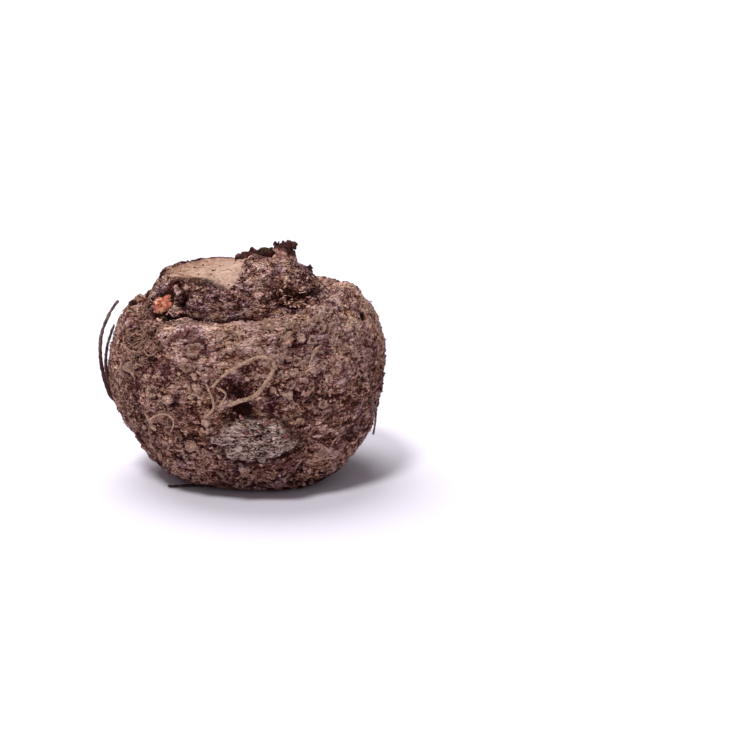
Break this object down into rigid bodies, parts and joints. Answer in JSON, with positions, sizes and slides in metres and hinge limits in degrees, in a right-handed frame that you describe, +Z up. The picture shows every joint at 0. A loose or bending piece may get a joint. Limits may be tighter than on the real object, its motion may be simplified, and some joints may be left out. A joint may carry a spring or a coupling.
{
  "type": "elephant foot yam",
  "caption": "Whole elephant foot yam: a squat, rough brown corm with a shallow dish on top, dried roots and clinging soil; it stands on its flattened base.",
  "frame": {"origin": "middle of the whole object's footprint, on the surface it stands on", "axes": "+Z up along the growing direction, front facing -Y, +X to the right and along the longest side"},
  "size_m": [0.2002, 0.1952, 0.1695],
  "materials": {
    "corm_skin": "rough, corky and matt, purplish grey-brown with tan flecks",
    "bud": "matt, grainy, salmon orange",
    "old_sheath": "ragged, fibrous, dark brown",
    "root": "dry, matt, tan to grey-brown",
    "dried_soil": "crumbly, matt, dark brown"
  },
  "bodies": {
    "root": {"corm": "corm_skin", "bud": "bud", "leaf_sheath_stub": "old_sheath", "soil_crust": "dried_soil", "root_left_long": "root", "root_left_short": "root", "root_front_loop": "root", "root_front_fork_left": "root", "root_front_fork_right": "root", "root_curl": "root", "root_front_right": "root", "root_right_long": "root", "root_right_short": "root", "root_back_long": "root", "root_back_short": "root", "root_on_ground": "root", "soil_crumb_left_shoulder": "dried_soil", "soil_crumb_left_dish": "dried_soil", "soil_crumb_left_scar": "dried_soil", "soil_crumb_right_slope": "dried_soil", "soil_crumb_lower_left": "dried_soil", "soil_crumb_back_lip": "dried_soil"}
  },
  "joints": []
}
